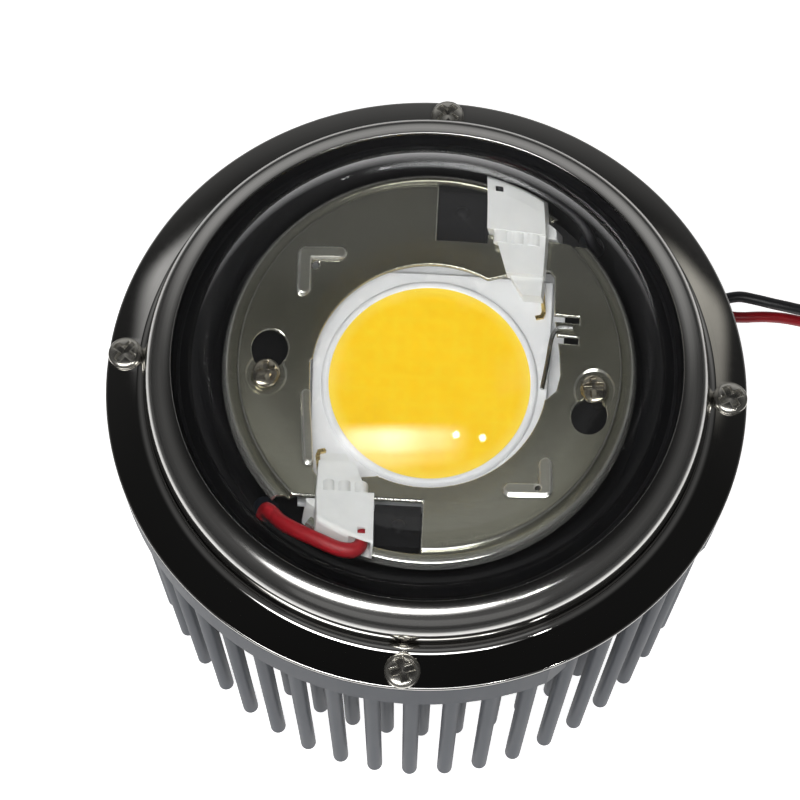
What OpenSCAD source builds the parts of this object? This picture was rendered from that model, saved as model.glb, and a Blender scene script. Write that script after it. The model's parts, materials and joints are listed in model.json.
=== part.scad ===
// Passive LED light engine: a chip-on-board LED in a round holder on a
// forged pin-fin heat sink, under a convex glass lens that a polished
// bezel ring clamps down. Millimetres, pin tips on z = 0, +Z up the axis.

/* [Heat sink] */
// Diameter of the base disc
base_d = 120; // [119.6:0.2:120.4]
// Thickness of the base disc
base_t = 10; // [9.8:0.1:10.2]
// Distance from the axis to the orientation flat
flat_r = 56.6; // [56.4:0.1:57]
// Diameter of one pin
pin_d = 3.2; // [2.6:0.1:3.4]
// Free length of the pins
pin_len = 62.8; // [62.8:0.1:63]
// Number of concentric pin rings
ring_n = 7; // [7:1:7]
// Pins added by each ring further out
ring_step = 7; // [7:1:7]
// Distance from one ring to the next
ring_pitch = 8.214; // [8.1:0.002:8.25]
// Diameter of the two holes for the leads
lead_hole_d = 4.4; // [4:0.1:4.6]

/* [Bezel ring] */
// Outer diameter of the flange
flange_d = 120; // [119:0.5:121]
// Thickness of the sheet
sheet_t = 0.8; // [0.7:0.05:0.9]
// Radius of the middle line of the rolled bead
bead_mid = 46.5; // [46.4:0.05:46.6]
// Outer radius of the bead's round top
bead_r = 5.8; // [5.75:0.05:5.85]
// Height of the bead's centre above the flange
bead_h = 4.2; // [4.2:0.1:4.3]
// Radius of the fillet between flange and wall
foot_r = 2; // [1.9:0.1:2.1]
// Radius of the circle that the flange screws sit on
screw_circle = 56.8; // [56.7:0.1:56.9]

/* [Lens] */
// Diameter of the lens over its rim
lens_d = 100; // [99.6:0.1:100]
// Radius of the convex face
lens_curve = 55.4; // [55.2:0.1:55.8]
// Thickness of the rim
rim_t = 1.4; // [1.2:0.1:1.4]
// Height of the lens's flat face above the flange
lens_lift = 5.7; // [5.7:0.1:5.8]

/* [LED] */
// Side of the square substrate
sub_w = 34.85; // [34:0.05:35]
// Thickness of the substrate
sub_t = 1.2; // [1:0.05:1.2]
// Diameter of the emitting disc
les_d = 30; // [29:0.1:30]
// Pitch of the chips under the phosphor
chip_pitch = 2.2; // [2:0.1:2.6]
// Side of one chip
chip_w = 1; // [0.8:0.1:1.2]

/* [Holder] */
// Radius of the holder plate
plate_r = 32.3; // [32.1:0.1:32.4]
// Thickness of the plate
plate_t = 0.5; // [0.4:0.05:0.5]
// Radius of the round opening
open_r = 17.7; // [17.5:0.1:17.8]
// Turn of the holder about the axis
hold_rot = 1.5; // [0:0.5:3]

/* [Leads] */
// Outer diameter of one lead
lead_d = 2.2; // [2:0.05:2.2]
// Turns of each lead in its coil
coil_turns = 2.1; // [2.1:0.1:2.1]

/* [Hidden] */

z_under = pin_len;               // underside of the base disc
z_top = pin_len + base_t;        // top face of the base disc
z_fl = z_top + sheet_t;          // top face of the flange
pad_t = 0.2;
z_sub = z_top + pad_t + sub_t;   // top of the substrate
z_lens = z_fl + lens_lift;       // flat face of the lens
z_rim = z_lens + rim_t;          // top of the lens rim
z_lip = z_rim + 0.3;             // where the gasket starts to slope up to the bezel's lip
lip_in = -0.3;                   // from the bead's middle line in to the edge of the lip
dome_r = 46;                     // radius of the foot of the lens's dome
z_plate = z_top + 3.2;           // top of the holder plate
z_band = z_plate - 0.35;         // top of the plate's outer band
hold_xy = [0.5, -0.7];           // centre of the holder
cob_xy = [0.6, -2.55];           // centre of the LED
play = [0.2, -1.95];             // middle between the holder's screws, in its own frame
hole_xy = ring_pitch * 4 * cos(45) * [1, 1];  // lead hole, between two pins of ring 4
hold_screw = [25.3, 0.05];       // holder screw, from that middle
block_top = z_fl + 5.4;          // top of the terminal blocks
tab_y = [20.4, 21.7];            // inner edges of the two tab windows
coil_c = [112, 10.4];            // centre of the lead coils
coil_r0 = 14;                    // radius where a lead enters its coil
coil_step = 2.3;                 // one turn of a lead to the next
coil_z = 0.4;                    // underside of the lower coil

// Route of the black lead outside the object
black_route = [[55, 26.2, 61.5], [56, 26.5, 61.5], [57, 26.8, 61.5],
    [60.2, 27.6, 61.5], [63.4, 27.3, 61.4], [67, 26.7, 61.3], [71, 26.3, 60.8], [75.5, 26, 59.6],
    [80, 25.7, 57], [84.5, 25.3, 52.8], [88.2, 24.9, 46.4], [90.6, 24.6, 38.4],
    [92.2, 24.4, 30], [94, 24.4, 21.6], [96.6, 24.4, 14], [100.2, 24.4, 8.4],
    [104.6, 24.4, 5.2], [109, 24.4, 4], [112, 24.4, 3.8]];
// Route of the red lead outside the object
red_route = [[55.6, 24.6, 59.2], [57.6, 24.4, 59.2], [59.6, 24.2, 59.2], [61.8, 24.3, 59.2],
    [63.7, 24.6, 59.1], [66.2, 24.9, 58.9], [69, 25.1, 58.5], [72, 25.1, 57.9],
    [76, 25.1, 56.5], [80, 25, 53.8], [83.4, 24.8, 49.8], [86, 24.6, 44.4],
    [88, 24.5, 37.6], [89.6, 24.4, 29.6], [91.4, 24.4, 21.4], [94.2, 24.4, 12.8],
    [98, 24.4, 6.6], [103, 24.4, 2.8], [108, 24.4, 1.6], [112, 24.4, 1.5]];
// Lead from inside its terminal, over the holder's rim and round to the
// hole in the base, in the holder's own frame
terminal_run = [[9.4, 27, 77.35], [9.4, 28.8, 77.35], [9.4, 30.4, 77.35], [9.9, 31.9, 77.4],
    [11.2, 32.9, 77.6], [13.4, 32.9, 77.7], [16, 31.8, 77.6], [18.7, 30.3, 77.2],
    [21, 28.6, 76.5], [22.7, 26.8, 75.7], [23.5, 25.2, 75]];
function from_holder(p, side) = [hold_xy[0] + side * (p[0] * cos(hold_rot) - p[1] * sin(hold_rot)),
    hold_xy[1] + side * (p[0] * sin(hold_rot) + p[1] * cos(hold_rot)), p[2]];
// Route of the black lead from its terminal through the base to the edge
black_inner_route = concat([for (p = terminal_run) from_holder(p, 1)],
    [[23.4, 24.4, 74.3], [23.35, 23.8, 73.2], [23.25, 23.45, 71.5], [23.2, 23.3, 69],
    [23.25, 23.25, 66], [23.3, 23.3, 63.6], [23.9, 23.3, 62],
    [25.6, 23.4, 61.4], [29, 23.8, 61.4], [33.2, 24.1, 61.5], [38, 24.4, 61.5],
    [42.7, 24.6, 61.5], [47.5, 24.8, 61.5], [52, 25.3, 61.5], [53.5, 25.75, 61.5],
    [55, 26.2, 61.5]]);
// Route of the red lead: through the base, round the channel between two
// pin rings, then out beside the black lead
red_inner_route = concat([for (p = terminal_run) from_holder(p, -1)],
    [[-23.2, -25.5, 74.7], [-23.6, -24.7, 74], [-23.8, -24.2, 73],
    [-23.8, -23.9, 71.5], [-23.6, -23.6, 69], [-23.3, -23.3, 66], [-23.3, -23.3, 63.4],
    [-23.8, -23.8, 61], [-25.2, -25, 59.6]],
    [for (a = [220 : -13.5 : 58]) [37 * cos(a), 37 * sin(a), 59.2]],
    [[26.4, 25.9, 59.2], [29.6, 24.4, 59.2], [33.4, 24.1, 59.2], [38, 24.4, 59.2],
    [42.7, 24.6, 59.2], [47.5, 24.9, 59.2], [51.6, 25, 59.2], [53.6, 24.8, 59.2], [55.6, 24.6, 59.2]]);
// Retaining spring, in the holder's own frame
spring_route = [[21.4, 7.5, 76.4], [20, 7.5, 76.4], [18.8, 7.1, 76.4],
    [18, 5.6, 76.1], [17.5, 2.6, 75.4], [17, -0.4, 74.9], [16.8, -1.6, 74.75]];

// ---- sweeping a round section along a route ----
function unit(v) = v / norm(v);
function across(v, t) = unit(v - (v * t) * t);
function bend(a, b, c, d, t) = 0.5 * (2 * b + (c - a) * t
    + (2 * a - 5 * b + 4 * c - d) * t * t + (3 * b - a - 3 * c + d) * t * t * t);
function smooth(P, m) = concat([for (i = [0 : len(P) - 2], j = [0 : m - 1])
    bend(P[max(i - 1, 0)], P[i], P[i + 1], P[min(i + 2, len(P) - 1)], j / m)],
    [P[len(P) - 1]]);
function along(P, i) = unit(P[min(i + 1, len(P) - 1)] - P[max(i - 1, 0)]);
function carried(P, up) = [for (i = 0, v = across(up, along(P, 0)); i < len(P);
    i = i + 1, v = across(v, along(P, min(i, len(P) - 1)))) across(v, along(P, i))];

module sweep(P, d, up = [0, 1, 0.2], s = 8) {
    N = carried(P, up);
    n = len(P);
    pts = [for (i = [0 : n - 1]) let (t = along(P, i), b = cross(t, N[i]))
        for (k = [0 : s - 1]) P[i] + d / 2 * (cos(360 * k / s) * N[i] + sin(360 * k / s) * b)];
    walls = [for (i = [0 : n - 2], k = [0 : s - 1]) let (a = i * s + k,
        b = i * s + (k + 1) % s) each [[a, a + s, b + s], [a, b + s, b]]];
    polyhedron(pts, concat(walls, [[for (k = [0 : s - 1]) k]],
        [[for (k = [s - 1 : -1 : 0]) (n - 1) * s + k]]), convexity = 6);
}

module in_holder() translate(hold_xy) rotate(hold_rot) children();
module on_cob() translate(cob_xy) rotate(hold_rot) children();
module both_sides() for (a = [0, 180]) rotate(a) children();
module at_play() translate(play) both_sides() children();

module cross_recess(w, l, depth) {
    translate([-l / 2, -w / 2, -depth]) cube([l, w, depth + 1]);
    translate([-w / 2, -l / 2, -depth]) cube([w, l, depth + 1]);
}

// Screw with its head's underside on z = 0 and a domed head
module domed_screw(head_d, head_h, shank_d, shank_l, rec) {
    cap = head_h * 0.6;
    ball = (head_d * head_d / 4 + cap * cap) / (2 * cap);
    difference() {
        union() {
            intersection() {
                union() {
                    translate([0, 0, 0.1]) cylinder(d = head_d, h = head_h, $fn = 48);
                    cylinder(d1 = head_d - 0.2, d2 = head_d, h = 0.1, $fn = 48);
                }
                translate([0, 0, head_h - ball]) sphere(r = ball, $fn = 96);
            }
            translate([0, 0, -shank_l]) cylinder(d = shank_d, h = shank_l + 0.1, $fn = 32);
        }
        translate([0, 0, head_h]) cross_recess(rec, head_d * 0.62, head_h * 0.62);
    }
}

// ---- heat sink ----
module one_pin(top) {
    r = pin_d / 2;
    rotate_extrude($fn = 32) polygon([[0, 0], [r - 0.5, 0], [r - 0.12, 0.12],
        [r, 0.5], [r, top], [0, top]]);
}

module heat_sink() color([0.30, 0.32, 0.35]) difference() {
    union() {
        difference() {
            rotate_extrude($fn = 180) polygon([[0, z_under], [base_d / 2 - 0.4, z_under],
                [base_d / 2, z_under + 0.4], [base_d / 2, z_top - 0.2],
                [base_d / 2 - 0.2, z_top], [0, z_top]]);
            rotate(-45) translate([flat_r, -40, z_under - 1]) cube([10, 80, base_t + 2]);
        }
        for (k = [1 : ring_n], j = [0 : k * ring_step - 1]) {
            a = 360 * j / (k * ring_step);
            rotate(a) translate([k * ring_pitch, 0, 0])
                one_pin(k * ring_pitch * cos(a + 45) > flat_r - pin_d / 2 ? z_top - 0.4 : z_under + 0.4);
        }
    }
    for (a = [0, 90, 180, 270]) rotate(a)
        translate([screw_circle, 0, z_top - 5.6]) cylinder(d = 3, h = 10, $fn = 32);
    in_holder() at_play() translate([hold_screw[0], hold_screw[1], z_top - 5])
        cylinder(d = 2.5, h = 10, $fn = 32);
    for (s = [-1, 1]) translate([s * hole_xy[0], s * hole_xy[1], z_under - 0.01])
        cylinder(d = lead_hole_d, h = base_t + 1, $fn = 48);
}

// ---- LED ----
module thermal_pad() color([0.9, 0.9, 0.9]) on_cob()
    translate([-sub_w / 2 - 1.8, -sub_w / 2 - 1.8, z_top]) cube([sub_w + 3.6, sub_w + 3.6, pad_t]);

module cob_substrate() color([0.93, 0.94, 0.95]) on_cob()
    translate([-sub_w / 2, -sub_w / 2, z_top + pad_t]) cube([sub_w, sub_w, sub_t]);

module cob_dam() color([0.95, 0.96, 0.97]) on_cob()
    rotate_extrude($fn = 144) polygon([[les_d / 2, z_sub], [les_d / 2 + 1.1, z_sub],
        [les_d / 2 + 1.05, z_sub + 0.3], [les_d / 2 + 0.85, z_sub + 0.55],
        [les_d / 2 + 0.55, z_sub + 0.65], [les_d / 2 + 0.2, z_sub + 0.62],
        [les_d / 2, z_sub + 0.5]]);

module chip_grid() {
    m = floor(les_d / 2 / chip_pitch);
    for (i = [-m : m], j = [-m : m])
        if (norm([i, j]) * chip_pitch + chip_w * 0.75 < les_d / 2 - 0.6)
            translate([i * chip_pitch - chip_w / 2, j * chip_pitch - chip_w / 2])
                square(chip_w);
}

module led_chips() color([0.35, 0.45, 0.75]) on_cob()
    translate([0, 0, z_sub]) linear_extrude(0.15) chip_grid();

module phosphor_disc() color([0.99, 0.83, 0.14]) on_cob() translate([0, 0, z_sub]) {
    linear_extrude(0.15) difference() {
        circle(d = les_d, $fn = 144);
        chip_grid();
    }
    translate([0, 0, 0.15]) cylinder(d = les_d, h = 0.35, $fn = 144);
}

// ---- holder ----
// The opening reaches out round the two corners of the LED with its contacts
module led_opening() {
    translate([0, -1.5]) circle(r = open_r, $fn = 144);
    polygon([[2, 0], [5.2, 14.2], [7.2, 14.15], [11, 15.3], [14, 16.1], [17.1, 16.6],
        [17.95, 15.8], [18.15, 9.3], [19.2, 4], [19.65, 0.2], [19.2, -2.4], [18, -3.6],
        [15.8, -5.2]]);
    polygon([[-2, 2], [-16.9, 1.6], [-17.95, 0.5], [-17.8, -7.8], [-17.3, -12.8], [-17.1, -17.5],
        [-16, -19], [-10, -18.1], [-7.4, -17.8], [-3, -15]]);
}

module keyhole() {
    translate([-24.75, 4.2]) circle(d = 6, $fn = 48);
    translate([-25.3, -0.05]) circle(d = 2.9, $fn = 32);
    polygon([[-26.75, -0.05], [-23.85, -0.05], [-23.3, 4.2], [-26.2, 4.2]]);
}

module bar2d(a, b, w, round_ends) {
    v = unit(b - a);
    p = w / 2 * [-v[1], v[0]];
    polygon([a + p, b + p, b - p, a - p]);
    if (round_ends) {
        translate(a) circle(d = w, $fn = 24);
        translate(b) circle(d = w, $fn = 24);
    }
}

// Angled ribs in two corners and a straight one beside the opening
module ribs(w, round_ends = true) {
    bar2d([-19.8, 17.8], [-19.6, 11.8], w, round_ends);
    bar2d([-19.8, 17.8], [-14.4, 17.6], w, round_ends);
    bar2d([19.1, -19.2], [18.6, -14.8], w, round_ends);
    bar2d([19.1, -19.2], [13.4, -19.3], w, round_ends);
    bar2d([-18.5, -5.3], [-18, -15.9], w - 0.4, round_ends);
}

// Window for a terminal block: open at the rim except for the band behind
// the block, which ends short of the window's far side
module block_window() difference() {
    translate([7.4, 21.9]) square([40, 40]);
    intersection() {
        difference() {
            circle(r = 40, $fn = 96);
            circle(r = 30.3, $fn = 180);
        }
        polygon([[0, 0], 60 * [cos(55), sin(55)], [0, 60]]);
    }
}

module holder_plate() color([0.46, 0.46, 0.43]) in_holder() difference() {
    union() {
        rotate_extrude($fn = 180) polygon([[6, z_plate], [29.6, z_plate], [30, z_plate - 0.75],
            [30.5, z_plate - 0.75], [30.9, z_band], [plate_r - 0.5, z_band],
            [plate_r - 0.15, z_band - 0.15], [plate_r, z_band - 0.5],
            [plate_r, z_band - 1.3], [plate_r - plate_t, z_band - 1.3], [plate_r - plate_t, z_plate - 0.75 - plate_t],
            [29.6, z_plate - 0.75 - plate_t], [29.2, z_plate - plate_t], [6, z_plate - plate_t]]);
        translate([0, 0, z_plate - 0.1]) linear_extrude(0.75) ribs(2);
        for (p = [[-24, 10.5], [-24, -12], [24, 13], [24, -13.5]])
            translate([p[0], p[1], z_top]) cylinder(r = 1.2, h = z_plate - plate_t - z_top + 0.2, $fn = 32);
        at_play() translate([-25.3, -0.05, z_plate - 0.35 - plate_t])
            cylinder(r = 3.4, h = plate_t, $fn = 48);
    }
    translate([0, 0, z_plate - 1.5]) linear_extrude(6) {
        led_opening();
        at_play() keyhole();
        intersection() {
            union() {
                translate([0, tab_y[0]]) square([7.5, 10]);
                rotate(180) translate([0, tab_y[1]]) square([7.5, 9]);
            }
            circle(r = 30.3, $fn = 180);
        }
        translate([-17.9, 15.8]) circle(d = 1.1, $fn = 24);
        translate([17.8, -19]) circle(d = 1, $fn = 24);
        translate([18, 8.7]) square([4.2, 0.9]);
        translate([18, 5.3]) square([4.2, 1]);
    }
    both_sides() translate([0, 0, z_top - 1]) linear_extrude(10) block_window();
    at_play() translate([-25.3, -0.05, z_plate - 0.35]) cylinder(r = 3.4, h = 3, $fn = 48);
    translate([0, 0, z_plate - plate_t - 0.1]) linear_extrude(0.44) ribs(1, false);
}

module holder_screws() color([0.72, 0.70, 0.62]) in_holder() at_play()
    translate([hold_screw[0], hold_screw[1], z_plate - 0.35])
        domed_screw(4.8, 1.4, 2.5, 6.2, 0.85);

// Terminal block in the place of the negative one: a body inside the rim,
// a hood that reaches over the rim with a rounded back, knuckles and a nose
// that steps down at y = step and ends over the LED at y = tip
module block(step, tip, tip_x, front, back) difference() {
    union() {
        intersection() {
            translate([7.7, front, z_top]) cube([9.4, 20, z_band + 0.8 - z_top]);
            cylinder(r = 30.2, h = 200, $fn = 180);
        }
        intersection() {
            rotate([0, 0, 40]) rotate_extrude(angle = 55, $fn = 180) polygon(concat(
                [[20, z_band + 0.3], [back, z_band + 0.3]],
                [for (a = [0 : 15 : 90]) [back - 0.8 + 0.8 * cos(a), block_top - 0.8 + 0.8 * sin(a)]],
                [[20, block_top]]));
            translate([7.7, front, z_top]) cube([9.4, 20, 20]);
        }
        intersection() {
            translate([17, front, z_top]) cube([1.5, 4, 4.2]);
            cylinder(r = 30.2, h = 200, $fn = 180);
        }
        translate([0, 0, z_plate + 0.1]) linear_extrude(2.2)
            polygon([[8.6, front + 0.15], [17, front + 0.15], [16.6, step], [10.8, step]]);
        translate([0, 0, z_sub + 0.55]) linear_extrude(2.4)
            polygon([[11.2, step + 0.1], [16.4, step + 0.1], [tip_x + 1.5, tip], [tip_x - 1.5, tip]]);
        for (x = [9.8, 12.4, 15]) translate([x, front + 0.25, z_plate + 1.6]) rotate([90, 0, 0])
            cylinder(r = 1.2, h = 2.4, $fn = 32);
    }
    translate([9.4, 26, 77.35]) rotate([-90, 0, 0]) cylinder(d = 2.5, h = 6, $fn = 48);
    translate([8.1, 30.8, 76.05]) cube([3.6, 6, 2.6]);
    translate([9, 29.6, 77.35]) cube([1.3, 1.2, 10]);
}

module terminal_block_neg() color([0.94, 0.95, 0.94]) in_holder() block(14.9, 11.9, 14.7, 22.05, 33.9);
module terminal_block_pos() color([0.94, 0.95, 0.94]) in_holder() rotate(180) block(17.6, 15.4, 13.6, 23.3, 33.4);

module contact() translate([0, 0, z_sub]) linear_extrude(0.45) {
    polygon([[15.5, 16.3], [16.1, 16.3], [16.6, 11.4], [16, 11.4]]);
    polygon([[16, 11.5], [16.6, 11.5], [16.3, 10.6], [15.2, 10.3], [15, 10.8], [15.8, 11]]);
}

module contact_spring_neg() color([0.78, 0.66, 0.35]) in_holder() translate([0, -0.9, 0]) contact();
module contact_spring_pos() color([0.78, 0.66, 0.35]) in_holder() rotate(180) translate([0, 2.4, 0]) contact();

module spring_clip() color([0.75, 0.75, 0.74]) in_holder() sweep(smooth(spring_route, 3), 0.7, [0, 0, 1]);

module tab(y0) {
    translate([0.1, y0 + 0.1, z_top]) cube([7.2, 28.9 - y0, 2.2]);
    translate([3.6, 25.4, z_top + 2.2]) intersection() {
        translate([0, 0, -0.6]) sphere(r = 1.3, $fn = 48);
        translate([-2, -2, -0.1]) cube([4, 4, 2]);
    }
}

module insulator_tab_neg() color([0.08, 0.08, 0.09]) in_holder() tab(tab_y[0]);
module insulator_tab_pos() color([0.08, 0.08, 0.09]) in_holder() rotate(180) tab(tab_y[1]);

// ---- lens and bezel ----
function arc(c, r, a0, a1, n) = [for (i = [0 : n]) let (a = a0 + (a1 - a0) * i / n)
    [c[0] + r * cos(a), c[1] + r * sin(a)]];

bead = [bead_mid, z_fl + bead_h];

// Channel section that holds the lens by its rim; its lip shows round the dome
module lens_gasket() color([0.10, 0.10, 0.11]) rotate_extrude($fn = 180)
    polygon(concat([[44.2, z_top], [51, z_top]],
        arc(bead, bead_r - sheet_t - 0.05, acos((51 - bead_mid) / (bead_r - sheet_t - 0.05)), 84, 10),
        [[dome_r + 0.6, z_lip + 1.2], [dome_r + 0.25, z_lip + 0.2], [dome_r + 0.05, z_rim],
            [lens_d / 2 + 0.1, z_rim], [lens_d / 2 + 0.1, z_lens], [44.2, z_lens]]));

module glass_lens() color([0.85, 0.9, 0.92, 0.35]) {
    translate([0, 0, z_lens]) cylinder(d = lens_d, h = rim_t, $fn = 180);
    intersection() {
        translate([0, 0, z_rim - sqrt(lens_curve * lens_curve - dome_r * dome_r)])
            sphere(r = lens_curve, $fn = 180);
        translate([0, 0, z_rim - 0.1]) cylinder(r = dome_r, h = 60, $fn = 180);
    }
}

module bezel_ring() color([0.62, 0.62, 0.60]) difference() {
    foot = [bead_mid + bead_r + foot_r, z_fl + foot_r];
    rotate_extrude($fn = 180) polygon(concat(
        [[flange_d / 2, z_fl - sheet_t], [flange_d / 2, z_fl - 0.35],
            [flange_d / 2 - 0.1, z_fl - 0.1], [flange_d / 2 - 0.35, z_fl]],
        arc(foot, foot_r, 270, 180, 10),
        arc(bead, bead_r, 0, 90 + asin(lip_in / bead_r), 16),
        arc(bead, bead_r - sheet_t, 90 + asin(lip_in / (bead_r - sheet_t)), 0, 14),
        arc(foot, foot_r + sheet_t, 180, 270, 10)));
    for (a = [0, 90, 180, 270]) rotate(a) translate([screw_circle, 0, z_fl]) {
        translate([0, 0, -2]) cylinder(d = 3.2, h = 4, $fn = 32);
        cylinder(d = 6.6, h = 2, $fn = 48);
    }
}

module bezel_screws() color([0.75, 0.74, 0.70]) for (a = [0, 90, 180, 270]) rotate(a)
    translate([screw_circle, 0, z_fl]) rotate(a + 30) domed_screw(6.4, 1.4, 3, 6, 1.1);

// ---- leads ----
function coil_point(t, z) = [coil_c[0] + (coil_r0 - coil_step * t) * cos(90 - 360 * t),
    coil_c[1] + (coil_r0 - coil_step * t) * sin(90 - 360 * t), z];

// Outer shape of one coil, cut back where the lead comes in on its outside
// and where the bare end lies inside the last turn
module coil(z) translate([coil_c[0], coil_c[1], z]) {
    r_end = coil_r0 - coil_step * coil_turns;
    difference() {
        rotate_extrude($fn = 96) translate([r_end - 1.1, 0])
            square([coil_r0 - r_end + 2.2, lead_d]);
        rotate(90 - 360 * coil_turns - 56) translate([0, 0, -1]) linear_extrude(lead_d + 2)
            polygon([[0, 0], [r_end + 1.15, 0], (r_end + 1.15) * [cos(14), sin(14)],
                (r_end + 1.15) * [cos(28), sin(28)], (r_end + 1.15) * [cos(42), sin(42)],
                (r_end + 1.15) * [cos(56), sin(56)]]);
        translate([-coil_r0, coil_r0 - lead_d / 2 - 0.05, -1]) cube([coil_r0 + 0.1, 4, lead_d + 2]);
    }
}

module bare_end(z) sweep([for (i = [0 : 6])
    coil_point(coil_turns + 0.001 + 0.0165 * i, z) + [0, 0, -0.1 * i]], 1.1, [0, 0, 1]);

module red_lead_inner() color([0.72, 0.08, 0.10]) sweep(smooth(red_inner_route, 2), lead_d);
module black_lead_inner() color([0.05, 0.05, 0.05]) sweep(smooth(black_inner_route, 2), lead_d);
module red_lead() color([0.72, 0.08, 0.10]) sweep(smooth(red_route, 2), lead_d);
module black_lead() color([0.05, 0.05, 0.05]) sweep(smooth(black_route, 2), lead_d);
module red_lead_coil() color([0.72, 0.08, 0.10]) coil(coil_z);
module black_lead_coil() color([0.05, 0.05, 0.05]) coil(coil_z + lead_d + 0.1);
module red_lead_end() color([0.78, 0.76, 0.72]) bare_end(1.5);
module black_lead_end() color([0.78, 0.76, 0.72]) bare_end(3.8);

module lead_tie() color([0.12, 0.12, 0.12]) {
    y0 = coil_c[1] - coil_r0 - 1.2;
    y1 = coil_c[1] - coil_r0 + coil_step * coil_turns + 1.3;
    top = coil_z + 2 * lead_d + 0.2;
    difference() {
        translate([coil_c[0] - 1.5, y0 - 0.4, 0]) cube([3, y1 - y0 + 0.8, top + 0.4]);
        translate([coil_c[0] - 3, y0, coil_z - 0.02]) cube([6, y1 - y0, top - coil_z + 0.02]);
    }
    translate([coil_c[0] - 1.1, (y0 + y1) / 2 - 1.6, top + 0.3]) cube([2.2, 3.2, 1.3]);
}

heat_sink();
thermal_pad();
cob_substrate();
cob_dam();
led_chips();
phosphor_disc();
holder_plate();
holder_screws();
terminal_block_pos();
terminal_block_neg();
contact_spring_pos();
contact_spring_neg();
spring_clip();
insulator_tab_pos();
insulator_tab_neg();
lens_gasket();
glass_lens();
bezel_ring();
bezel_screws();
red_lead_inner();
black_lead_inner();
red_lead();
black_lead();
red_lead_coil();
black_lead_coil();
red_lead_end();
black_lead_end();
lead_tie();
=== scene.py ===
import json
import math

import bmesh
import bpy
import numpy as np
from mathutils import Matrix, Vector
from mathutils.geometry import delaunay_2d_cdt


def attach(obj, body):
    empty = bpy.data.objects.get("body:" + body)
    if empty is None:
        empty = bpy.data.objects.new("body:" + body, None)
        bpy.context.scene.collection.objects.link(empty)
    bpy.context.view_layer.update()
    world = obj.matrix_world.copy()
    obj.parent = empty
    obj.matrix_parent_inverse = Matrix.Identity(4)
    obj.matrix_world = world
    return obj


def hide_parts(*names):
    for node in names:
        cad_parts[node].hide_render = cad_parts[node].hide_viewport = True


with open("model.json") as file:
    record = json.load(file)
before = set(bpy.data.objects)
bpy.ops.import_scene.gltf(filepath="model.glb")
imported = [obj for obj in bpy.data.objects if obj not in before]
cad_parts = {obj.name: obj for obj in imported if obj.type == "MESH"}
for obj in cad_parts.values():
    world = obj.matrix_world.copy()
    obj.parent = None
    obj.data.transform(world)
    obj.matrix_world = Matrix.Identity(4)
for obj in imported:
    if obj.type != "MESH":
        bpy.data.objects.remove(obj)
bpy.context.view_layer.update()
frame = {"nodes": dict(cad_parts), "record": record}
NODE = frame["nodes"]
SCENE = bpy.context.scene
MM = 0.001
PI = math.pi

# ---------------------------------------------------------------- main sizes, mm
Z_TOP, Z_FL, Z_SUB = 72.8, 73.6, 74.2
Z_LENS, Z_RIM, Z_LIP = 79.3, 80.7, 81.0
Z_PLATE, Z_BAND = 76.0, 75.65
HOLD, HOLD_ROT = (0.5, -0.7), math.radians(1.5)
COB = (0.6, -2.55)
BEAD, BEAD_R = (46.5, 77.8), 5.8
FOOT, FOOT_R = (54.3, 75.6), 2.0
DOME_R, DOME_CURVE = 46.0, 55.4


# ---------------------------------------------------------------- camera
def make_camera():
    el, az, roll = (math.radians(v) for v in (66.8055, 4.2124, -0.4126))
    back = np.array((math.sin(az) * math.cos(el), -math.cos(az) * math.cos(el), math.sin(el)))
    right = np.array((math.cos(az), math.sin(az), 0.0))
    up = np.cross(back, right)
    c, s = math.cos(roll), math.sin(roll)
    right, up = c * right - s * up, s * right + c * up
    eye = np.array((0.09659, -2.42602, 5.47546)) * 0.06 + np.array((0, 0, 0.0736))
    data = bpy.data.cameras.new("camera")
    data.sensor_width = 36.0
    data.sensor_fit = "HORIZONTAL"
    data.lens = 1918.04 / 800 * 36.0
    data.clip_start, data.clip_end = 0.01, 50.0
    cam = bpy.data.objects.new("camera", data)
    m = Matrix.Identity(4)
    for r in range(3):
        m[r][0], m[r][1], m[r][2], m[r][3] = right[r], up[r], back[r], eye[r]
    cam.matrix_world = m
    SCENE.collection.objects.link(cam)
    SCENE.camera = cam


make_camera()


# ---------------------------------------------------------------- mesh helpers
def add(ob, mat=None, replaces=()):
    SCENE.collection.objects.link(ob)
    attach(ob, "root")
    if mat is not None:
        ob.data.materials.append(mat)
    if replaces:
        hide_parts(*replaces)
    return ob


def mesh_object(name, verts, faces, angle=35, fix=True):
    me = bpy.data.meshes.new(name)
    me.from_pydata([(v[0] * MM, v[1] * MM, v[2] * MM) for v in verts], [], faces)
    if fix:
        bm = bmesh.new()
        bm.from_mesh(me)
        bmesh.ops.remove_doubles(bm, verts=bm.verts, dist=1e-7)
        bmesh.ops.recalc_face_normals(bm, faces=bm.faces)
        bm.to_mesh(me)
        bm.free()
    me.validate()
    me.shade_smooth()
    me.set_sharp_from_angle(angle=math.radians(angle))
    me.update()
    return bpy.data.objects.new(name, me)


def arc(cx, cy, r, a0, a1, n):
    out = []
    for i in range(n + 1):
        a = math.radians(a0 + (a1 - a0) * i / n)
        out.append((cx + r * math.cos(a), cy + r * math.sin(a)))
    return out


def lathe(profile, segs, closed=True, skip=()):
    """Vertices and faces of a profile in (r, z) turned about Z. skip: profile edges that get no faces."""
    n = len(profile)
    verts, rows = [], []
    for r, z in profile:
        if r < 1e-9:
            rows.append([len(verts)] * segs)
            verts.append((0.0, 0.0, z))
        else:
            rows.append(list(range(len(verts), len(verts) + segs)))
            verts += [(r * math.cos(2 * PI * k / segs), r * math.sin(2 * PI * k / segs), z) for k in range(segs)]
    faces = []
    for i in range(n if closed else n - 1):
        if i in skip:
            continue
        a, b = rows[i], rows[(i + 1) % n]
        for k in range(segs):
            q = [a[k], a[(k + 1) % segs], b[(k + 1) % segs], b[k]]
            q = [v for j, v in enumerate(q) if v != q[j - 1]]
            if len(q) > 2:
                faces.append(q)
    return verts, faces


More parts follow.
